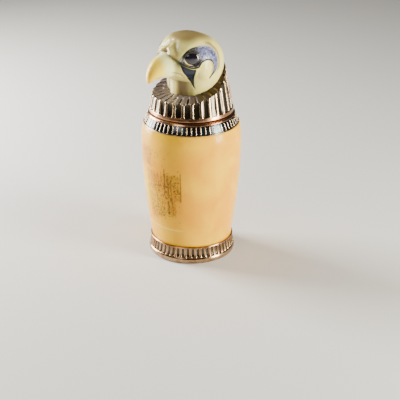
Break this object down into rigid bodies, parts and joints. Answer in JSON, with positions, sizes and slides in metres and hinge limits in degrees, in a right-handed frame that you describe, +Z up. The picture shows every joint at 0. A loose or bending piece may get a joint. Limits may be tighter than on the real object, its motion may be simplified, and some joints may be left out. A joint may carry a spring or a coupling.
{
  "type": "canopic jar",
  "caption": "Falcon-headed canopic jar: translucent honey stone vessel with a gilt fluted foot, an enamelled shoulder ring and a ribbed wig lid.",
  "frame": {"origin": "centre of the underside, on the jar's axis, where the foot meets the surface", "axes": "+Z up along the jar's axis, -Y the way the falcon looks, +X to the falcon's left"},
  "size_m": [0.0874, 0.091, 0.2014],
  "materials": {
    "honey_stone": "polished",
    "gilt_metal": "polished",
    "gilt_enamel": "polished",
    "ivory_glaze": "gloss",
    "dark_glass": "gloss"
  },
  "bodies": {
    "root": {"jar_body": "honey_stone", "foot_ring": "gilt_metal", "shoulder_ring": "gilt_enamel", "wig_collar": "gilt_enamel", "falcon_head": "ivory_glaze", "eye_left": "dark_glass", "eye_right": "dark_glass"}
  },
  "joints": []
}
